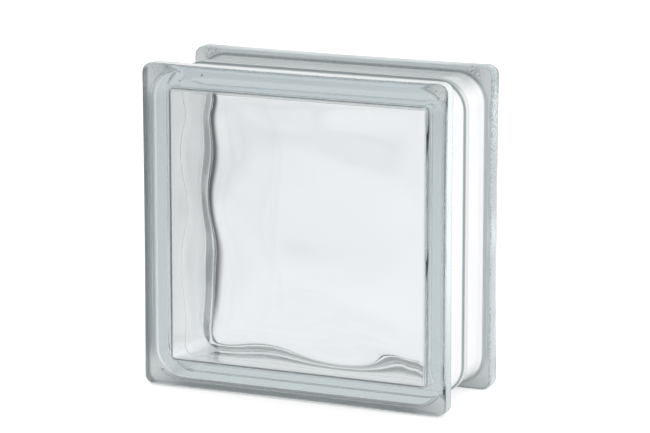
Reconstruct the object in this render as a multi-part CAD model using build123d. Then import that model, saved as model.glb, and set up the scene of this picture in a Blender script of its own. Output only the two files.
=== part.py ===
from build123d import *

import math
import os

# Hollow glass block for walls: two pressed halves melted together at mid-depth.
# It stands on its lower rims, with the front face towards -Y and the depth along Y.
# The origin is the middle of its footprint. All lengths are in millimetres.

# Overall size
block_width = 190.0
block_height = 190.0
block_depth = 80.0

# Flanges that frame the two faces
flange_thickness = 11.0
flange_corner_radius = 6.0
face_edge_radius = 2.6
rim_edge_break = 0.8

# Side wall between the flanges, set back to key into the mortar
key_depth = 4.5
key_fillet = 2.0
wall_corner_radius = 17.0

# Bead left where the halves are melted together, outside and inside
seam_width = 7.0
seam_height = 0.9
seam_edge_break = 0.6

# Glass around the hollow
wall_thickness = 7.2
face_thickness = 8.5
hollow_corner_radius = 5.0
hollow_edge_radius = 3.0
hollow_edge_break = 0.3
press_draft = 2.0

# Wave trains on the inner side of each face: swell either side of the flat, length from
# crest to crest, heading in degrees from the width, and the share of a wave it starts with
long_wave_swell = 0.89
long_wave_length = 80.8
long_wave_heading = -5.0
long_wave_start_share = 0.33
rising_wave_swell = 0.75
rising_wave_length = 68.2
rising_wave_heading = 68.3
rising_wave_start_share = 0.52
falling_wave_swell = 0.70
falling_wave_length = 60.9
falling_wave_heading = -78.3
falling_wave_start_share = 0.69
short_wave_swell = 0.14
short_wave_length = 38.6
short_wave_heading = 241.2
short_wave_start_share = 0.78
wave_fade = 15.0
wave_margin = 2.5
wave_points = 25

# How far the pocket and its press run past the glass that they shape
overrun = 6.0

half_depth = block_depth / 2
flange_foot = half_depth - flange_thickness
wall_width = block_width - 2 * key_depth
wall_height = block_height - 2 * key_depth
hollow_width = wall_width - 2 * wall_thickness
hollow_height = wall_height - 2 * wall_thickness
hollow_half_depth = half_depth - face_thickness
wavy_width = hollow_width - 2 * hollow_edge_radius
wavy_height = hollow_height - 2 * hollow_edge_radius

wave_trains = [
    (long_wave_swell, long_wave_length, long_wave_heading, long_wave_start_share),
    (rising_wave_swell, rising_wave_length, rising_wave_heading, rising_wave_start_share),
    (falling_wave_swell, falling_wave_length, falling_wave_heading, falling_wave_start_share),
    (short_wave_swell, short_wave_length, short_wave_heading, short_wave_start_share),
]


def fade_share(place, span):
    """Full strength in the middle of a face, falling smoothly to none at its edge."""
    inset_share = (span / 2 - abs(place)) / wave_fade
    return (1 - math.cos(math.pi * min(max(inset_share, 0), 1))) / 2


def wave_relief(x, y):
    """Depth of the waves at one place of a face, summed over the wave trains."""
    relief = 0
    for swell, length, heading, start_share in wave_trains:
        along = x * math.cos(math.radians(heading)) + y * math.sin(math.radians(heading))
        relief += swell * math.sin(math.tau * (along / length + start_share))
    return relief * fade_share(x, wavy_width) * fade_share(y, wavy_height)


def flange():
    """The flange of the upper half, a plate with rounded edges that ends at its face."""
    plate = extrude(RectangleRounded(block_width, block_height, flange_corner_radius), flange_thickness)
    plate = fillet(plate.edges().group_by(Axis.Z)[-1], face_edge_radius)
    plate = chamfer(plate.edges().group_by(Axis.Z)[0], rim_edge_break)
    return Pos(Z=flange_foot) * plate


def seam_bead():
    """The bead around the outside, a thin plate with rounded edges across the side wall."""
    outline = RectangleRounded(
        wall_width + 2 * seam_height, wall_height + 2 * seam_height, wall_corner_radius + seam_height
    )
    plate = extrude(outline, seam_width / 2, both=True)
    return chamfer(plate.edges().filter_by(Plane.XY), seam_edge_break)


def outer_body():
    """The block before it is hollowed: side wall, both flanges and the outer bead."""
    wall_outline = RectangleRounded(wall_width, wall_height, wall_corner_radius)
    wall = extrude(wall_outline, half_depth - face_edge_radius, both=True)
    body = wall + flange() + mirror(flange(), Plane.XY)
    for level in (flange_foot, -flange_foot):
        foot = body.edges().filter_by_position(Axis.Z, level, level)
        body = fillet(foot, key_fillet)
    return body + seam_bead()


def wavy_press():
    """The end of the tool that presses one half: a block whose end carries the waves."""
    reach_x = hollow_width / 2 + overrun
    reach_y = hollow_height / 2 + overrun
    grid_shares = [2 * step / (wave_points - 1) - 1 for step in range(wave_points)]
    grid = [
        [
            Vector(x_share * reach_x, y_share * reach_y)
            + Vector(0, 0, hollow_half_depth + wave_relief(x_share * reach_x, y_share * reach_y))
            for y_share in grid_shares
        ]
        for x_share in grid_shares
    ]
    wavy_face = Face.make_surface_from_array_of_points(grid)
    return extrude(wavy_face, half_depth, dir=(0, 0, -1))


def hollow_half():
    """Half of the hollow: a pocket with drafted walls that rolls into the wavy inner face."""
    pocket = extrude(
        RectangleRounded(hollow_width, hollow_height, hollow_corner_radius),
        hollow_half_depth + hollow_edge_break,
        taper=press_draft,
    )
    pocket = fillet(pocket.faces().sort_by(Axis.Z)[-1].edges(), hollow_edge_radius)
    core = extrude(Rectangle(wavy_width - 2 * wave_margin, wavy_height - 2 * wave_margin), half_depth)
    return (pocket + core) & wavy_press()


def inner_bead():
    """The bead around the inside, a ring that stands out of the walls of the hollow."""
    ring = extrude(Rectangle(wall_width, wall_height), seam_width / 2, both=True)
    opening = extrude(
        RectangleRounded(
            hollow_width - 2 * seam_height, hollow_height - 2 * seam_height, hollow_corner_radius - seam_height
        ),
        seam_width,
        both=True,
    )
    ring = ring - opening
    opening_edges = [face.inner_wires()[0].edges() for face in ring.faces().filter_by(Axis.Z)]
    return chamfer(opening_edges[0] + opening_edges[1], seam_edge_break)


def glass_block():
    """The block standing up: both halves come from one press, the back one turned over."""
    half = hollow_half()
    hollow = half + Rot(Y=180) * half - inner_bead()
    block = outer_body() - hollow
    return Pos(Z=block_height / 2) * Rot(X=90) * block


os.makedirs("parts", exist_ok=True)
block = glass_block()
print("glass block:", block.is_valid, round(block.volume), "cubic millimetres")
export_step(block, "parts/glass_block.step")
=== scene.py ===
import math

import bmesh
import bpy
from mathutils import Matrix, Vector


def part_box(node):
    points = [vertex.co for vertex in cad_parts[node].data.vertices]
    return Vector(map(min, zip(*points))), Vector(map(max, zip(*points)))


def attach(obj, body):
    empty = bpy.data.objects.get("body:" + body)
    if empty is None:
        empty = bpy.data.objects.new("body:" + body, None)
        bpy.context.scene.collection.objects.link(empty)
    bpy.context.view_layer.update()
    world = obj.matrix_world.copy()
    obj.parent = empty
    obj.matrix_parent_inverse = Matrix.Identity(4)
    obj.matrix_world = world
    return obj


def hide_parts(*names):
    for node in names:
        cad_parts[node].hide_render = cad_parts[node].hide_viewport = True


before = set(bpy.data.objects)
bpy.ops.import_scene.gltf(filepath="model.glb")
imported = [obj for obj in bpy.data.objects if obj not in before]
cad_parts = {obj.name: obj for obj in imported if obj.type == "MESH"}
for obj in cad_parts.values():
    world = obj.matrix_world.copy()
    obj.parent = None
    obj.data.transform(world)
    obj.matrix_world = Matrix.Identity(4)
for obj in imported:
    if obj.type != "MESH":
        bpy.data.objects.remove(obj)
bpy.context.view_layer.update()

bl_info = {
    "name": "Hollow glass block",
    "version": (1, 0, 0),
    "blender": (4, 5, 0),
    "location": "3D View > Sidebar > Glass block",
    "description": "A pressed hollow glass block with wavy faces, and a pale stage to show it on",
    "category": "Object",
}

# All lengths are in metres. The block's width runs along X, its depth along Y and its height
# along Z, and the origin is the middle of its footprint.
MM = 0.001
BLOCK_LOW, BLOCK_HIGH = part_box("glass_block")
BLOCK_SIZE = BLOCK_HIGH - BLOCK_LOW

# Steps that round each edge of the section
FACE_EDGE_STEPS = 9
RIM_BREAK_STEPS = 4
KEY_FILLET_STEPS = 7
ROLL_STEPS = 9
SHOULDER_STEPS = 6

# How far the rings that hold a flat beside its rounding lie from it
FACE_HOLD = 0.6 * MM
RIM_HOLD = 0.4 * MM
FOOT_HOLD = 0.2 * MM

# Where rings cross the side wall and the hollow's wall, as shares of the way to the bead
WALL_SHARES = (0.03, 0.5, 0.97)
HOLLOW_WALL_SHARES = (0.03, 0.35, 0.7, 0.97)

# Share of the flanges' bow that is left at their foot
FOOT_BOW_SHARE = 0.8

# The bead: width of its round shoulders outside and inside, and half its width inside the hollow
BEAD_SHOULDER = 1.3 * MM
INNER_BEAD_SHOULDER = 2.4 * MM
INNER_BEAD_HALF = 2.5 * MM

# The sharpest that a corner of the hollow gets as it rolls into its face
LEAST_HOLLOW_CORNER = 0.8 * MM

# Bubbles that the melt left in the front flange: place across, height and radius, in millimetres
BUBBLES = (
    (-70.4, 186.0, 0.6),
    (-70.4, 180.8, 0.7),
    (-56.0, 185.0, 0.8),
    (-83.1, 9.7, 0.8),
    (90.0, 182.2, 0.7),
)
BUBBLE_DEPTH = 1.6 * MM

# The floor: half its size, how far it lies below the block's lowest point, and the reach, in
# metres, within which its distance from the block is evened out
FLOOR_HALF = 6.0
FLOOR_GAP = 0.2 * MM
NEAR_FLOOR = 0.15

# The floor's grey, and what is added to it in the camera's view alone to make it pale
FLOOR_GREY = 0.85
FLOOR_LIFT = 0.5

# Strength of the studio's light: from each side, and from overhead
SIDE_LIGHT = 4.4
OVERHEAD_LIGHT = 0.9

# Share of the surroundings' brightness that the glass shows far to both sides
DARK_SIDES = 0.03

# The camera, fitted to the outline in the photograph: the picture's width and the focal length
# in pixels, the bearing and distance of the camera, and the bearing that it looks back along
PICTURE_WIDTH = 650
FOCAL_PIXELS = 3500
SENSOR_WIDTH = 36.0
CAMERA_BEARING = (24.78, 11.87)
CAMERA_DISTANCE = 2.021
VIEW_BEARING = (24.70, 11.72)


def length(name, text, default):
    """A property that holds a length of the block, given in millimetres."""
    return bpy.props.FloatProperty(
        name=name, description=text, default=default * MM, min=0, unit="LENGTH", precision=5
    )


def colour(name, text, default):
    """A property that holds a colour."""
    return bpy.props.FloatVectorProperty(
        name=name, description=text, default=default, size=3, min=0, max=1, subtype="COLOR"
    )


def opaque(shade):
    """A colour property as a socket takes it."""
    return (*shade, 1)


class GlassBlockSizes(bpy.types.PropertyGroup):
    """The sizes of the block."""

    width: bpy.props.FloatProperty(
        name="Width", description="Width over the flanges", default=BLOCK_SIZE.x, min=0, unit="LENGTH"
    )
    depth: bpy.props.FloatProperty(
        name="Depth", description="Depth from face to face", default=BLOCK_SIZE.y, min=0, unit="LENGTH"
    )
    height: bpy.props.FloatProperty(
        name="Height", description="Height over the flanges", default=BLOCK_SIZE.z, min=0, unit="LENGTH"
    )
    flange_thickness: length("Flange thickness", "Thickness of each flange, from its face to its foot", 11.0)
    flange_corner: length("Flange corner", "Corner radius of the flanges", 6.0)
    flange_bow: length("Flange bow", "How far the middle of each flange edge draws in", 0.5)
    face_edge: length("Face edge", "Radius that rounds each face into its flange rim", 2.6)
    rim_break: length("Rim break", "Small rounding at the foot of each flange rim", 0.8)
    key_depth: length("Key depth", "How far the side wall is set back from the flange rims", 4.5)
    key_fillet: length("Key fillet", "Radius between a flange and the side wall", 2.0)
    wall_corner: length("Wall corner", "Corner radius of the side wall", 17.0)
    seam_width: length("Seam width", "Width of the bead where the two halves are melted together", 7.0)
    seam_height: length("Seam height", "Height of that bead outside", 0.9)
    inner_seam_height: length("Inner seam height", "Height of the bead inside the hollow", 0.1)
    wall_thickness: length("Wall thickness", "Glass of the side wall at the seam", 7.8)
    face_thickness: length("Face thickness", "Glass of each face where its waves are level", 8.5)
    hollow_corner: length("Hollow corner", "Corner radius of the hollow at the seam", 5.0)
    hollow_roll: length("Hollow roll", "Radius that rolls the hollow's wall into its face", 4.0)
    press_draft: bpy.props.FloatProperty(
        name="Press draft",
        description="Slope of the hollow's walls",
        default=math.radians(3.0),
        subtype="ANGLE",
    )
    wave_swell: bpy.props.FloatVectorProperty(
        name="Wave swell",
        description="Swell of the four wave trains on the inner faces, either side of level",
        default=(0.89 * MM, 0.75 * MM, 0.70 * MM, 0.14 * MM),
        size=4,
        unit="LENGTH",
        precision=5,
    )
    wave_length: bpy.props.FloatVectorProperty(
        name="Wave length",
        description="Length of the four wave trains from crest to crest",
        default=(80.8 * MM, 68.2 * MM, 60.9 * MM, 38.6 * MM),
        size=4,
        unit="LENGTH",
    )
    wave_heading: bpy.props.FloatVectorProperty(
        name="Wave heading",
        description="Heading of the four wave trains, in degrees from the width",
        default=(-5.0, 68.3, -78.3, 241.2),
        size=4,
    )
    wave_start: bpy.props.FloatVectorProperty(
        name="Wave start",
        description="Share of a wave that each of the four trains starts with",
        default=(0.33, 0.52, 0.69, 0.78),
        size=4,
    )
    wave_fade: length("Wave fade", "Band at the edge of a face over which the waves fade out", 15.0)
    cells: bpy.props.IntProperty(
        name="Cells", description="Mesh cells along each side of the block", default=84, min=24, max=110
    )


class GlassBlockFinishAndPaintedShade(bpy.types.PropertyGroup):
    """The finish of the glass, and the shade, highlights and reflections painted on its coat."""

    tint: colour("Tint", "Colour that thick glass takes on", (0.39, 0.51, 0.53))
    tint_density: bpy.props.FloatProperty(
        name="Tint density",
        description="How fast the tint builds up with depth of glass, per metre",
        default=11.5,
        min=0,
    )
    coat: colour("Key coat", "Coat on the upright side walls, which mortar grips", (0.955, 0.965, 0.968))
    # The coat of the top and bottom walls, with a cooler tint painted in for the cool light on them
    flat_coat_with_painted_cool_light: colour("Flat coat", "Coat on the top and bottom walls", (0.92, 0.965, 0.975))
    # Painted shade: a darker, greener coat in the corners where they are seen through the glass
    painted_inner_corner_shade: colour("Inner corner coat", "Corners seen through the glass", (0.80, 0.885, 0.895))
    # Painted shade: a greyer coat on the front half where it is seen through the glass
    painted_inner_front_shade: colour("Inner front coat", "Front half seen through the glass", (0.66, 0.73, 0.74))
    # Painted shade: a dark grey coat in the fillet between a wall and a flange
    painted_fillet_shade: colour("Fillet coat", "Coat between a wall and a flange", (0.48, 0.52, 0.53))
    # Painted shade: a grey coat on the foot of each flange, deep in the groove
    painted_foot_shade: colour("Foot coat", "Coat on the foot of a flange", (0.62, 0.68, 0.685))
    # Painted shade and light on the front flange rim: darker near the floor, lighter from mid-height up, and
    # lightest along the top, where a highlight is painted
    painted_low_rim_shade: colour("Low rim coat", "Front flange rim near the floor", (0.60, 0.66, 0.67))
    painted_high_rim_light: colour("High rim coat", "Front flange rim from mid-height up", (0.86, 0.91, 0.92))
    painted_top_rim_highlight: colour("Top rim coat", "Front flange rim along the top", (0.92, 0.95, 0.95))
    back_rim_coat: colour("Back rim coat", "Back flange rim", (0.77, 0.83, 0.85))
    # Dark tone of the dust and grit, and of the shade painted in the creases
    dust_and_painted_shade: colour("Dust and painted shade", "Dust in creases and along edges", (0.25, 0.30, 0.31))
    # Painted reflection: near black lines at the right edge of the window, standing in for total reflections
    # in the glass
    painted_reflection: colour("Painted reflection", "Ripple lines at the edge of the window", (0.02, 0.023, 0.024))
    coat_clearness: bpy.props.FloatProperty(
        name="Coat clearness",
        description="How much of the glass behind it the key coat shows",
        default=0.1,
        min=0,
        max=1,
    )
    coat_glow: bpy.props.FloatProperty(
        name="Coat glow",
        description="How much daylight the key coat passes on into the glass",
        default=1.0,
        min=0,
        max=1,
    )
    coat_cover: bpy.props.FloatProperty(
        name="Coat cover", description="How densely the key coat covers the glass", default=0.98, min=0, max=1
    )
    bending: bpy.props.FloatProperty(
        name="Index of refraction", description="How strongly the glass bends light", default=1.52, min=1
    )


class Signal:
    """A number inside a material. Python's arithmetic on it adds Math nodes."""

    def __init__(self, graph, socket):
        self.graph = graph
        self.socket = socket

    def math(self, operation, *others):
        """Adds a Math node that takes this number first and then the others."""
        inputs = dict(enumerate((self, *others)))
        return self.graph.node("ShaderNodeMath", {"operation": operation}, inputs)

    def __add__(self, other):
        return self.math("ADD", other)

    def __sub__(self, other):
        return self.math("SUBTRACT", other)

    def __rsub__(self, other):
        return self * -1 + other

    def __mul__(self, other):
        return self.math("MULTIPLY", other)

    def __truediv__(self, other):
        return self.math("DIVIDE", other)

    def __pow__(self, other):
        return self.math("POWER", other)

    def __abs__(self):
        return self.math("ABSOLUTE")

    __radd__ = __add__
    __rmul__ = __mul__


class Graph:
    """The nodes of one material or world."""

    def __init__(self, owner):
        owner.use_nodes = True
        self.tree = owner.node_tree
        self.tree.nodes.clear()

    def node(self, kind, settings=None, inputs=None, output=0):
        """Adds a node: its settings first, then the values or links of its sockets."""
        new = self.tree.nodes.new(kind)
        for name, value in (settings or {}).items():
            setattr(new, name, value)
        for place, value in (inputs or {}).items():
            socket = new.inputs[place]
            if isinstance(value, Signal):
                self.tree.links.new(value.socket, socket)
            else:
                socket.default_value = value
        return Signal(self, new.outputs[output])

    def colours(self, share, first, second):
        """Goes from the first colour to the second as the share goes from 0 to 1."""
        return self.node("ShaderNodeMix", {"data_type": "RGBA"}, {0: share, 6: first, 7: second}, output=2)

    def output(self, kind, **links):
        """Adds the output node and links what is given to its sockets."""
        new = self.tree.nodes.new(kind)
        for place, value in links.items():
            self.tree.links.new(value.socket, new.inputs[place])

    def parts(self, vector):
        """The X, Y and Z of a vector."""
        split = self.tree.nodes.new("ShaderNodeSeparateXYZ")
        self.tree.links.new(vector.socket, split.inputs[0])
        return [Signal(self, socket) for socket in split.outputs]

    def ramp(self, value, low, high, start=0.0, end=1.0):
        """Goes smoothly from start to end while the value goes from low to high."""
        inputs = {0: value, 1: low, 2: high, 3: start, 4: end}
        return self.node("ShaderNodeMapRange", {"interpolation_type": "SMOOTHSTEP"}, inputs)


def side_place(place, half, corner):
    """Place along one side of a rounded square and how far its corner arc has turned there.

    The place runs from -1 to 1, and ends halfway round the corner at both ends."""
    straight_share = 0.8
    if abs(place) <= straight_share:
        return place / straight_share * (half - corner), 0.0
    turn = (abs(place) - straight_share) / (1 - straight_share) * math.pi / 4
    return math.copysign(half - corner + corner * math.sin(turn), place), turn


def outline_place(u, v, half_width, half_height, corner, bow=0.0):
    """Moves a point of the square from -1 to 1 on to a rounded outline, and inner points with it."""
    reach = max(abs(u), abs(v))
    if reach < 1e-6:
        return 0.0, 0.0
    u, v = u / reach, v / reach
    if abs(u) >= abs(v):
        along, turn = side_place(v, half_height, corner)
        drawn_in = bow * (1 - (along / half_height) ** 2)
        x, y = math.copysign(half_width - corner + corner * math.cos(turn) - drawn_in, u), along
    else:
        along, turn = side_place(u, half_width, corner)
        drawn_in = bow * (1 - (along / half_width) ** 2)
        x, y = along, math.copysign(half_height - corner + corner * math.cos(turn) - drawn_in, v)
    return x * reach, y * reach


def ringed_shell(cells, rings, one_face_ends):
    """A closed shell: a square grid, its border drawn out once for each further ring, and a lid.

    X and Y of a vertex run from -1 to 1, and its Z is the number of its ring."""
    shell = bmesh.new()
    bmesh.ops.create_grid(shell, x_segments=cells, y_segments=cells, size=1)
    lid = bmesh.ops.duplicate(shell, geom=shell.faces[:])["geom"]
    lid_verts = [part for part in lid if isinstance(part, bmesh.types.BMVert)]
    bmesh.ops.translate(shell, verts=lid_verts, vec=(0, 0, rings - 1))
    border = [edge for edge in shell.edges if edge.is_boundary and edge.verts[0].co.z < 0.5]
    for _ in range(rings - 1):
        drawn = bmesh.ops.extrude_edge_only(shell, edges=border)["geom"]
        fresh = [part for part in drawn if isinstance(part, bmesh.types.BMVert)]
        bmesh.ops.translate(shell, verts=fresh, vec=(0, 0, 1))
        at_end = set(fresh)
        border = [
            part for part in drawn if isinstance(part, bmesh.types.BMEdge) and set(part.verts) <= at_end
        ]
    bmesh.ops.remove_doubles(shell, verts=shell.verts, dist=0.001)
    if one_face_ends:
        for level in (0, rings - 1):
            end = [face for face in shell.faces if all(abs(vert.co.z - level) < 0.1 for vert in face.verts)]
            bmesh.ops.dissolve_faces(shell, faces=end, use_verts=True)
    return shell


def arc(steps):
    """Share of the way in and share of the way along for a quarter circle, step by step."""
    turns = [math.pi / 2 * step / steps for step in range(steps + 1)]
    return [(1 - math.sin(turn), 1 - math.cos(turn)) for turn in turns]


def bead(half_width, height, shoulder):
    """Depth and height of a melted bead from its edge to its middle line: round shoulders, level top."""
    steps = [shoulder * step / SHOULDER_STEPS for step in range(SHOULDER_STEPS + 1)]
    rise = [(half_width - step, height * (1 - math.cos(math.pi * step / shoulder)) / 2) for step in steps]
    return rise + [((half_width - shoulder) / 2, height), (0.0, height)]


def outer_rings(sizes):
    """Rings of the outer skin from the front face to the middle: depth, inset, corner and bow share."""
    half_depth = sizes.depth / 2
    foot = half_depth - sizes.flange_thickness
    edge, rim, key, fillet = sizes.face_edge, sizes.rim_break, sizes.key_depth, sizes.key_fillet
    rings = [(half_depth, edge + FACE_HOLD, sizes.flange_corner - edge, 1.0)]
    for inward, down in arc(FACE_EDGE_STEPS):
        rings.append((half_depth - edge * down, edge * inward, sizes.flange_corner - edge * inward, 1.0))
    rings.append((half_depth - edge - RIM_HOLD, 0.0, sizes.flange_corner, 1.0))
    rings.append((foot + rim + RIM_HOLD, 0.0, sizes.flange_corner, 1.0))
    for inward, down in reversed(arc(RIM_BREAK_STEPS)):
        rings.append((foot + rim * down, rim * inward, sizes.flange_corner - rim * inward, 1.0))
    rings.append((foot, rim + FOOT_HOLD, sizes.flange_corner, FOOT_BOW_SHARE))
    rings.append((foot, key - fillet - FOOT_HOLD, sizes.wall_corner + fillet, 0.0))
    for inward, down in arc(KEY_FILLET_STEPS):
        share_in, share_down = 1 - down, 1 - inward
        corner = sizes.wall_corner + fillet * share_in
        rings.append((foot - fillet * share_down, key - fillet * share_in, corner, 0.0))
    wall_start, wall_end = foot - fillet, sizes.seam_width / 2
    for share in WALL_SHARES:
        rings.append((wall_start + (wall_end - wall_start) * share, key, sizes.wall_corner, 0.0))
    for depth, height in bead(wall_end, sizes.seam_height, BEAD_SHOULDER):
        rings.append((depth, key - height, sizes.wall_corner + height, 0.0))
    return rings


def hollow_rings(sizes):
    """Rings of the hollow from its front face to the middle: depth, inset and corner radius."""
    end = sizes.depth / 2 - sizes.face_thickness
    roll, slope = sizes.hollow_roll, math.tan(sizes.press_draft)
    seam_inset = sizes.key_depth + sizes.wall_thickness
    rings = []
    for inward, down in arc(ROLL_STEPS):
        depth = end - roll * down
        inset = roll * inward + depth * slope
        rings.append((depth, seam_inset + inset, max(sizes.hollow_corner - inset, LEAST_HOLLOW_CORNER)))
    wall_start, wall_end = end - roll, INNER_BEAD_HALF
    for share in HOLLOW_WALL_SHARES:
        depth = wall_start + (wall_end - wall_start) * share
        rings.append((depth, seam_inset + depth * slope, sizes.hollow_corner - depth * slope))
    for depth, height in bead(wall_end, sizes.inner_seam_height, INNER_BEAD_SHOULDER):
        inset = depth * slope + height
        rings.append((depth, seam_inset + inset, sizes.hollow_corner - inset))
    return rings


def mirrored(rings):
    """The rings of both halves, the back ones with their depth turned round."""
    return rings + [(-ring[0], *ring[1:]) for ring in reversed(rings[:-1])]


def wave_relief(sizes, x, z, half_width, half_height):
    """Depth of the waves at one place of an inner face, counted from the middle of the face."""
    relief = 0.0
    for swell, span, heading, start in zip(
        sizes.wave_swell, sizes.wave_length, sizes.wave_heading, sizes.wave_start
    ):
        turn = math.radians(heading)
        along = x * math.cos(turn) + z * math.sin(turn)
        relief += swell * math.sin(math.tau * (along / span + start))
    fade = 1.0
    for place, half in ((x, half_width), (z, half_height)):
        share = min(max((half - abs(place)) / sizes.wave_fade, 0), 1)
        fade *= (1 - math.cos(math.pi * share)) / 2
    return relief * fade


def turn_outward(skin):
    """Turns the faces of a closed skin outward."""
    skin.normal_update()
    bmesh.ops.recalc_face_normals(skin, faces=skin.faces)


def make_outer_skin(sizes):
    """The outside of the block: faces, flanges, side wall and the bead around it."""
    rings = mirrored(outer_rings(sizes))
    skin = ringed_shell(sizes.cells, len(rings), True)
    for vert in skin.verts:
        depth, inset, corner, bow_share = rings[round(vert.co.z)]
        x, z = outline_place(
            vert.co.x,
            vert.co.y,
            sizes.width / 2 - inset,
            sizes.height / 2 - inset,
            corner,
            sizes.flange_bow * bow_share,
        )
        vert.co = (x, -depth, z + sizes.height / 2)
    turn_outward(skin)
    return skin


def make_hollow_skin(sizes):
    """The inside of the block: the hollow with its wavy faces, its normals turned into the hollow."""
    rings = mirrored(hollow_rings(sizes))
    skin = ringed_shell(sizes.cells, len(rings), False)
    for vert in skin.verts:
        number = round(vert.co.z)
        depth, inset, corner = rings[number]
        half_width, half_height = sizes.width / 2 - inset, sizes.height / 2 - inset
        x, z = outline_place(vert.co.x, vert.co.y, half_width, half_height, corner)
        if number == 0:
            depth += wave_relief(sizes, x, z, half_width, half_height)
        elif number == len(rings) - 1:
            depth -= wave_relief(sizes, -x, z, half_width, half_height)
        vert.co = (x, -depth, z + sizes.height / 2)
    turn_outward(skin)
    bmesh.ops.reverse_faces(skin, faces=skin.faces)
    return skin


def add_bubbles(skin, sizes):
    """Leaves small bubbles in the glass just behind the front face, their normals turned into the air."""
    for x, z, radius in BUBBLES:
        place = Matrix.Translation((x * MM, BUBBLE_DEPTH - sizes.depth / 2, z * MM))
        made = bmesh.ops.create_icosphere(skin, subdivisions=3, radius=radius * MM, matrix=place)
        faces = {face for vert in made["verts"] for face in vert.link_faces}
        bmesh.ops.reverse_faces(skin, faces=list(faces))


def beyond(across, up, half, corner):
    """How far a place lies outside a rounded square, and below zero inside it."""
    over_x = (across - (half - corner)).math("MAXIMUM", 0.0)
    over_z = (up - (half - corner)).math("MAXIMUM", 0.0)
    return (over_x * over_x + over_z * over_z) ** 0.5 - corner


# Patterns in the coat: how many specks and how many patches there are to about a metre
SPECK_SCALE = 900.0
PATCH_SCALE = 45.0

# How rough each finish is, and how high the grit stands
GRIT_ROUGHNESS = 0.12
COAT_ROUGHNESS = 0.6
DARK_MARK_ROUGHNESS = 0.8
GLOSS_ROUGHNESS = 0.03
GRIT_HEIGHT = 0.15 * MM


class Zones:
    """Where a place of the glass lies. A zone is 1 inside and fades to 0 over its band."""

    # Rounded square between the outer skin and the hollow: half its width, and its corner
    SKIN_HALF, SKIN_CORNER = 86.9 * MM, 11 * MM

    # Where each zone starts and where it is full
    SKIN_BAND = (-0.5 * MM, 0.5 * MM)
    RIM_BAND = (-1.6 * MM, -0.6 * MM)
    TOP_BAND = (176 * MM, 184 * MM)
    UPPER_CORNER_BAND = (168 * MM, 176 * MM)
    FILLET_BAND = (26.4 * MM, 27.4 * MM)
    FOOT_BAND = (28.3 * MM, 28.9 * MM)
    CORNER_BAND = (164 * MM, 176 * MM)
    BACK_BAND = (-10 * MM, 10 * MM)
    FLAT_BAND = (-9 * MM, 9 * MM)
    RIGHT_BAND = (0.0, 50 * MM)
    PATCH_BAND = (0.42, 0.62)
    SPECK_BAND = (0.45, 0.62)

    # How much the corners are spared the painted shade and the denser coat of the feet: outside, seen through
    # the glass, and more at the top right
    CORNER_CLEAR_OUTSIDE, CORNER_CLEAR_INSIDE, CORNER_CLEAR_TOP_RIGHT = 0.8, 0.55, 0.2

    def __init__(self, graph, sizes):
        place = graph.node("ShaderNodeTexCoord", output=3)
        fine = {"Vector": place, "Scale": SPECK_SCALE, "Detail": 3.0}
        wide = {"Vector": place, "Scale": PATCH_SCALE, "Detail": 2.0}
        self.fine = graph.node("ShaderNodeTexNoise", {}, fine)
        self.patches = graph.ramp(graph.node("ShaderNodeTexNoise", {}, wide), *self.PATCH_BAND)
        self.specks = graph.ramp(self.fine, *self.SPECK_BAND)

        self.x, y, self.z = graph.parts(place)
        self.across = abs(self.x)
        self.depth = abs(y)
        self.rise = abs(self.z - sizes.height / 2)
        wall_half = sizes.width / 2 - sizes.key_depth
        self.off_wall = beyond(self.across, self.rise, wall_half, sizes.wall_corner)
        off_skin = beyond(self.across, self.rise, self.SKIN_HALF, self.SKIN_CORNER)
        off_rim = beyond(self.across, self.rise, sizes.width / 2, sizes.flange_corner)

        self.outside = graph.ramp(off_skin, *self.SKIN_BAND)
        self.rim = graph.ramp(off_rim, *self.RIM_BAND)
        self.top = graph.ramp(self.z, *self.TOP_BAND)
        self.upper_corner = graph.ramp(self.z, *self.UPPER_CORNER_BAND)
        self.corner = graph.ramp(self.across + self.rise, *self.CORNER_BAND)
        self.back = graph.ramp(y, *self.BACK_BAND)
        self.flat = graph.ramp(self.rise - self.across, *self.FLAT_BAND)

        # The coat seen through the glass, and not from the air
        self.underside = graph.node("ShaderNodeNewGeometry", output="Backfacing")
        self.fillet = graph.ramp(self.depth, *self.FILLET_BAND)
        self.foot_plane = graph.ramp(self.depth, *self.FOOT_BAND)
        self.flange_rim = self.rim * self.fillet
        self.foot = self.foot_zone(graph)

    def foot_zone(self, graph):
        """The foot of the flanges, which takes painted shade, and the fillet too where it is seen through the
        glass.
        """
        top_right = self.top * graph.ramp(self.x, *self.RIGHT_BAND)
        clear_inside = self.CORNER_CLEAR_INSIDE + self.CORNER_CLEAR_TOP_RIGHT * top_right
        clear = self.CORNER_CLEAR_OUTSIDE * (1 - self.underside) + clear_inside * self.underside
        whole = self.foot_plane + (self.fillet - self.foot_plane) * self.underside
        return whole * (1 - self.corner * clear)


def line(graph, place, middle, inner, outer, strength=1.0, rest=0.0):
    """A line along the middle: full as far as inner, and faded to the rest at outer."""
    return graph.ramp(abs(place - middle), inner, outer, strength, rest)


def most(*signals):
    """The largest of some signals."""
    largest = signals[0]
    for signal in signals[1:]:
        largest = largest.math("MAXIMUM", signal)
    return largest


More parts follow.
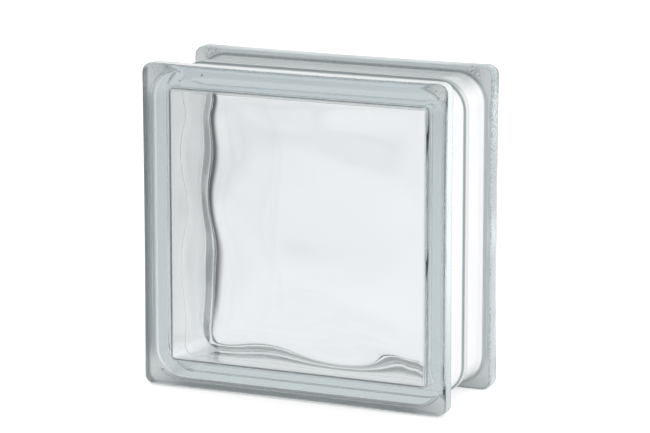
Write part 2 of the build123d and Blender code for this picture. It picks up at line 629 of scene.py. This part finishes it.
def coat_tone(graph, finish, zones):
    """Colour of the coat on the walls, the fillets, the flanges' feet and their rims, with shade and
    highlights painted into it.
    """
    seen_outside = 1 - zones.underside
    # The top and bottom walls take a cooler tone, painted in for the cool light on them
    wall = graph.colours(zones.flat, opaque(finish.coat), opaque(finish.flat_coat_with_painted_cool_light))
    # Painted shade: the corners seen through the glass are darker and greener
    wall = graph.colours(zones.corner * zones.underside, wall, opaque(finish.painted_inner_corner_shade))
    # Painted shade: the fillet between a wall and a flange is darker seen from outside
    fillet_share = (zones.fillet - zones.foot_plane) * seen_outside
    fillet = graph.colours(fillet_share, wall, opaque(finish.painted_fillet_shade))
    # Painted shade on the feet, broken up in patches, with less of it along the top seen from outside, where
    # light falls
    foot_share = zones.foot * (1 - 0.3 * zones.patches) * (1 - 0.7 * zones.flat * zones.top * seen_outside)
    foot = graph.colours(foot_share, fillet, opaque(finish.painted_foot_shade))
    # Painted shade and highlight: the front rim darkens towards the floor and lightens along the top
    up_the_rim = graph.ramp(zones.z, 10 * MM, 110 * MM)
    front_rim = graph.colours(up_the_rim, opaque(finish.painted_low_rim_shade), opaque(finish.painted_high_rim_light))
    front_rim = graph.colours(zones.flat * zones.top, front_rim, opaque(finish.painted_top_rim_highlight))
    rim = graph.colours(zones.back, front_rim, opaque(finish.back_rim_coat))
    tone = graph.colours(zones.flange_rim, foot, rim)
    # Painted shade: the coat of the front half is greyer where it is seen through the glass
    return graph.colours(zones.underside * (1 - zones.back), tone, opaque(finish.painted_inner_front_shade))


def coat_clearness(finish, zones):
    """How clear the coat is, which differs between its outer side and the side seen through the glass."""
    outside = (finish.coat_clearness + 0.3 * zones.flat) * (1 - zones.underside)
    inside = finish.coat_glow * (1 - 0.3 * zones.flat) * zones.underside
    return (outside + inside) * (1 - 0.8 * zones.foot) * (1 - 0.8 * zones.flange_rim)


def dust_and_painted_shade_marks(graph, zones):
    """Dark marks: painted shade on the bead and along the foot of the top wall, with grit in it; dust and
    grit on edges and the back rim, a speckled patch, dark rim lines and fine specks.
    """
    flat_top = zones.flat * zones.top
    # Painted shade in the bead's creases and over the whole bead, darkest along the top
    bead_edge = graph.ramp(zones.depth, 3.9 * MM, 4.9 * MM, 1.0, 0.0)
    crease_shade = line(graph, zones.depth, 3.1 * MM, 0.5 * MM, 1.4 * MM, rest=0.3 + 0.65 * flat_top) * bead_edge
    foot_edge = line(graph, zones.depth, 29.4 * MM, 0.5 * MM, 1.3 * MM) * zones.rim * (1 - flat_top)
    # Painted shade, with grit in it, in the crease where the top wall meets the flanges
    from_fillet = graph.ramp(zones.depth, 26 * MM, 27.5 * MM)
    wall_foot_shade = line(graph, zones.off_wall, 0.8 * MM, 0.3 * MM, 0.9 * MM) * zones.top * from_fillet
    # A speckled dark patch on the back flange's foot near its two upper corners
    patch_x, patch_z = zones.across - 83 * MM, zones.rise - 90 * MM
    from_patch = (patch_x * patch_x + patch_z * patch_z) ** 0.5
    corner_patch = graph.ramp(from_patch, 2 * MM, 8 * MM, 0.7, 0.0)
    up_the_rim = graph.ramp(zones.z, 60 * MM, 170 * MM, 0.1, 0.65)
    off_rim_middle = abs(zones.depth - 33.6 * MM)
    rim_lines = line(graph, off_rim_middle, 3.0 * MM, 0.5 * MM, 1.2 * MM)
    marks = most(
        0.8 * crease_shade,
        foot_edge * (0.2 + 0.5 * zones.specks),
        wall_foot_shade * (0.65 + 0.3 * zones.specks),
        corner_patch * zones.specks * zones.foot_plane * zones.top * zones.back,
        zones.rim * zones.back * zones.specks * (1 - zones.flat) * up_the_rim,
        rim_lines * zones.rim * zones.back * zones.corner * zones.upper_corner * (0.5 + 0.5 * zones.patches),
    )
    inner_specks = zones.corner * zones.top * 0.6 * graph.ramp(zones.fine, 0.60, 0.66)
    return marks * (1 - zones.underside) + zones.underside * inner_specks


def painted_reflection_stroke(graph, zones, middle, half_length):
    """A dark line painted on the wall of the hollow for a reflection, widest at its middle and leaning
    forward.
    """
    line_depth, lean, taper = 27.8 * MM, 0.13, 1.6 * MM
    along = zones.z - middle
    off_line = abs(zones.depth - line_depth + along * lean)
    return graph.ramp(off_line + abs(along) * (taper / half_length), 1.2 * MM, 2.2 * MM, 1.0, 0.0)


def painted_reflection_lines(graph, zones):
    """Painted reflections: the dark line along the right edge of the front window, with two stronger strokes
    in it.
    """
    edge = line(graph, zones.depth, 27.6 * MM, 0.7 * MM, 1.8 * MM, strength=0.5)
    lines = most(painted_reflection_stroke(graph, zones, 160 * MM, 14 * MM), painted_reflection_stroke(graph, zones, 87 * MM, 10 * MM), edge)
    right_wall = graph.ramp(zones.x, 80 * MM, 80.6 * MM)
    return lines * right_wall * (1 - zones.back) * (1 - zones.outside)


def coat_cover(graph, zones):
    """Where the coat lies: between the faces, and thinner in patches on the flange rims."""
    off_the_face = graph.ramp(zones.depth, 36.6 * MM, 37.8 * MM, 1.0, 0.0)
    past_the_foot = graph.ramp(zones.depth, 29.2 * MM, 30.2 * MM)
    worn = past_the_foot * (0.3 - 0.25 * zones.patches) * (0.3 + 0.7 * zones.back)
    return zones.outside * off_the_face * (1 - worn)


def glass_material(sizes, finish):
    """Clear pressed glass, with a faint tint in its depth, and the pale key coat between the flanges, with
    shade and reflections painted on it.
    """
    material = bpy.data.materials.new("pressed_clear_glass")
    graph = Graph(material)
    zones = Zones(graph, sizes)
    painted_reflections = painted_reflection_lines(graph, zones)
    grit = zones.flange_rim * zones.patches * zones.specks
    bump = graph.node("ShaderNodeBump", {}, {"Strength": 1.0, "Distance": GRIT_HEIGHT, "Height": grit})
    glass = graph.node(
        "ShaderNodeBsdfPrincipled",
        {},
        {
            "Base Color": (1, 1, 1, 1),
            "Transmission Weight": 1.0,
            "IOR": finish.bending,
            "Roughness": grit * GRIT_ROUGHNESS,
            "Normal": bump,
        },
    )
    body = graph.node(
        "ShaderNodeBsdfPrincipled",
        {},
        {
            "Base Color": coat_tone(graph, finish, zones),
            "Specular IOR Level": 0.0,
            "Roughness": COAT_ROUGHNESS,
            "Normal": bump,
        },
    )
    glow = graph.node("ShaderNodeBsdfTranslucent", {}, {"Color": opaque(finish.coat)})
    coat = graph.node("ShaderNodeMixShader", {}, {0: coat_clearness(finish, zones), 1: body, 2: glow})
    # The dark tone of the dust and painted shade, and near black where reflections are painted
    dull_tone = graph.colours(painted_reflections, opaque(finish.dust_and_painted_shade), opaque(finish.painted_reflection))
    dull = graph.node(
        "ShaderNodeBsdfPrincipled",
        {},
        {"Base Color": dull_tone, "Specular IOR Level": 0.0, "Roughness": DARK_MARK_ROUGHNESS},
    )
    # Where the dark tone lies: dust, painted shade and painted reflections
    dust_and_painted_shade = most(dust_and_painted_shade_marks(graph, zones), painted_reflections)
    coat_with_dust_and_painted_shade = graph.node("ShaderNodeMixShader", {}, {0: dust_and_painted_shade, 1: coat, 2: dull})
    less_at_fillet = graph.ramp(zones.depth, 20 * MM, 25 * MM, 1.0, 0.5)
    # The coat keeps no gloss under the painted reflections
    mirror = graph.node("ShaderNodeFresnel", {}, {"IOR": finish.bending}) * less_at_fillet * (1 - painted_reflections)
    gloss = graph.node("ShaderNodeBsdfGlossy", {}, {"Color": (1, 1, 1, 1), "Roughness": GLOSS_ROUGHNESS})
    backed = graph.node("ShaderNodeMixShader", {}, {0: mirror, 1: coat_with_dust_and_painted_shade, 2: gloss})
    # The coat also covers the glass under the painted reflections
    covered = most(coat_cover(graph, zones), painted_reflections) * finish.coat_cover
    surface = graph.node("ShaderNodeMixShader", {}, {0: covered, 1: glass, 2: backed})
    depth_tint = graph.node(
        "ShaderNodeVolumeAbsorption", {}, {"Color": opaque(finish.tint), "Density": finish.tint_density}
    )
    graph.output("ShaderNodeOutputMaterial", Surface=surface, Volume=depth_tint)
    return material


class GLASSBLOCK_OT_make_block(bpy.types.Operator):
    """Make the hollow glass block in place of the plain solid"""

    bl_idname = "glassblock.make_block"
    bl_label = "Make block"

    def execute(self, context):
        sizes, finish = context.scene.glass_block_sizes, context.scene.glass_block_finish
        mesh = bpy.data.meshes.new("glass_block_body")
        body = make_outer_skin(sizes)
        hollow = make_hollow_skin(sizes)
        add_bubbles(hollow, sizes)
        hollow.to_mesh(mesh)
        body.from_mesh(mesh)
        body.to_mesh(mesh)
        for part in (body, hollow):
            part.free()
        mesh.shade_smooth()
        mesh.materials.append(glass_material(sizes, finish))
        piece = bpy.data.objects.new("glass_block_body", mesh)
        context.scene.collection.objects.link(piece)
        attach(piece, "root")
        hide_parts("glass_block")
        return {"FINISHED"}


def light_path(graph):
    """Whether a ray comes from the camera, from a reflection or through glass."""
    path = graph.tree.nodes.new("ShaderNodeLightPath")
    kinds = ("Is Camera Ray", "Is Glossy Ray", "Is Transmission Ray")
    return [Signal(graph, path.outputs[kind]) for kind in kinds]


def floor_material():
    """The pale floor: matt and white, and dark to both sides where only the glass shows it."""
    material = bpy.data.materials.new("pale_floor")
    material.cycles.emission_sampling = "NONE"
    graph = Graph(material)
    camera, glossy, through = light_path(graph)
    place = graph.node("ShaderNodeTexCoord", output=3)
    x, y, _ = graph.parts(place)
    far = (x * x + y * y + NEAR_FLOOR**2) ** 0.5
    shade = graph.ramp(abs(x), 0.28, 0.48, 0.0, 0.1) * graph.ramp(far, 0.9, 1.5, 1.0, 0.3)
    sideways = graph.ramp(abs(x) / far, 0.62, 0.88, 1.0, DARK_SIDES)
    level = graph.ramp(abs(x), 0.0, 0.3, 1.0, 0.95) * (1 - shade) * sideways
    matt = graph.node("ShaderNodeBsdfDiffuse", {}, {"Color": (FLOOR_GREY, FLOOR_GREY, FLOOR_GREY, 1)})
    lift = graph.node("ShaderNodeEmission", {}, {"Color": (1, 1, 1, 1), "Strength": camera * FLOOR_LIFT})
    lifted = graph.node("ShaderNodeAddShader", {}, {0: matt, 1: lift})
    shown = graph.node("ShaderNodeEmission", {}, {"Color": (0.98, 0.985, 1, 1), "Strength": level})
    both = graph.node("ShaderNodeMixShader", {}, {0: through.math("MAXIMUM", glossy), 1: lifted, 2: shown})
    graph.output("ShaderNodeOutputMaterial", Surface=both)
    return material


def studio_world():
    """Soft light: most from both sides, some from above and behind, and least from the front."""
    world = bpy.data.worlds.new("studio")
    graph = Graph(world)
    x, y, z = graph.parts(graph.node("ShaderNodeTexCoord"))
    camera, glossy, through = light_path(graph)
    back = graph.ramp(y, -0.7, 0.2, 0.15, 0.35)
    sides = graph.ramp(abs(x), 0.75, 0.97, 0.0, SIDE_LIGHT)
    ceiling = graph.ramp(z, 0.35, 0.9, 1.0, 0.8)
    overhead = graph.ramp(z, 0.6, 0.95, 0.0, OVERHEAD_LIGHT)
    lit = (back + sides) * ceiling + overhead
    shown = graph.ramp(y, -0.2, 0.4, 0.65, 1.0) * graph.ramp(abs(x), 0.6, 0.85, 1.0, DARK_SIDES)
    shown = shown * graph.ramp(z, 0.35, 0.85, 1.0, 0.4)
    mirrored_or_through = through.math("MAXIMUM", glossy)
    level = (lit * (1 - mirrored_or_through) + shown * mirrored_or_through).math("MAXIMUM", camera)
    light = graph.node("ShaderNodeBackground", {}, {"Color": (1, 1, 1, 1), "Strength": level})
    graph.output("ShaderNodeOutputWorld", Surface=light)
    return world


class GLASSBLOCK_OT_make_stage(bpy.types.Operator):
    """Make the pale floor, the soft studio light and the camera"""

    bl_idname = "glassblock.make_stage"
    bl_label = "Make stage"

    def execute(self, context):
        scene = context.scene
        scene.world = studio_world()
        mesh = bpy.data.meshes.new("pale_floor")
        ground = bmesh.new()
        bmesh.ops.create_grid(ground, x_segments=2, y_segments=2, size=FLOOR_HALF)
        bmesh.ops.translate(ground, verts=ground.verts, vec=(0, 0, -FLOOR_GAP))
        ground.to_mesh(mesh)
        ground.free()
        mesh.materials.append(floor_material())
        floor = bpy.data.objects.new("pale_floor", mesh)
        scene.collection.objects.link(floor)
        add_camera(scene)
        scene.view_settings.view_transform = "Standard"
        scene.cycles.max_bounces = 32
        scene.cycles.transmission_bounces = 32
        scene.cycles.glossy_bounces = 16
        return {"FINISHED"}


def bearing(azimuth, elevation):
    """The direction from the block to a place at that azimuth and elevation, in degrees."""
    turn, rise = math.radians(azimuth), math.radians(elevation)
    return Vector((math.sin(turn) * math.cos(rise), -math.cos(turn) * math.cos(rise), math.sin(rise)))


def add_camera(scene):
    """The camera, in front of the block, a little to its right and above it."""
    data = bpy.data.cameras.new("camera")
    data.sensor_width = SENSOR_WIDTH
    data.lens = FOCAL_PIXELS / PICTURE_WIDTH * SENSOR_WIDTH
    data.clip_start, data.clip_end = 0.05, 50
    camera = bpy.data.objects.new("camera", data)
    camera.location = Vector((0, 0, BLOCK_SIZE.z / 2)) + bearing(*CAMERA_BEARING) * CAMERA_DISTANCE
    camera.rotation_euler = (-bearing(*VIEW_BEARING)).to_track_quat("-Z", "Y").to_euler()
    scene.collection.objects.link(camera)
    scene.camera = camera


class GLASSBLOCK_PT_panel(bpy.types.Panel):
    """The sizes, the finish and the painted shade of the glass block"""

    bl_idname = "GLASSBLOCK_PT_panel"
    bl_label = "Glass block"
    bl_space_type = "VIEW_3D"
    bl_region_type = "UI"
    bl_category = "Glass block"

    def draw(self, context):
        for group in (context.scene.glass_block_sizes, context.scene.glass_block_finish):
            for name in group.__annotations__:
                self.layout.prop(group, name)
        for operator in (GLASSBLOCK_OT_make_block, GLASSBLOCK_OT_make_stage):
            self.layout.operator(operator.bl_idname)


CLASSES = (
    GlassBlockSizes,
    GlassBlockFinishAndPaintedShade,
    GLASSBLOCK_OT_make_block,
    GLASSBLOCK_OT_make_stage,
    GLASSBLOCK_PT_panel,
)


def register():
    """Makes the classes and the two groups of properties known to Blender."""
    for kind in CLASSES:
        bpy.utils.register_class(kind)
    bpy.types.Scene.glass_block_sizes = bpy.props.PointerProperty(type=GlassBlockSizes)
    bpy.types.Scene.glass_block_finish = bpy.props.PointerProperty(type=GlassBlockFinishAndPaintedShade)


def unregister():
    """Takes both groups and the classes out of Blender again."""
    del bpy.types.Scene.glass_block_finish
    del bpy.types.Scene.glass_block_sizes
    for kind in reversed(CLASSES):
        bpy.utils.unregister_class(kind)


def main():
    """Registers the classes and makes the stage and then the block."""
    register()
    bpy.ops.glassblock.make_stage()
    bpy.ops.glassblock.make_block()


if __name__ == "__main__":
    main()
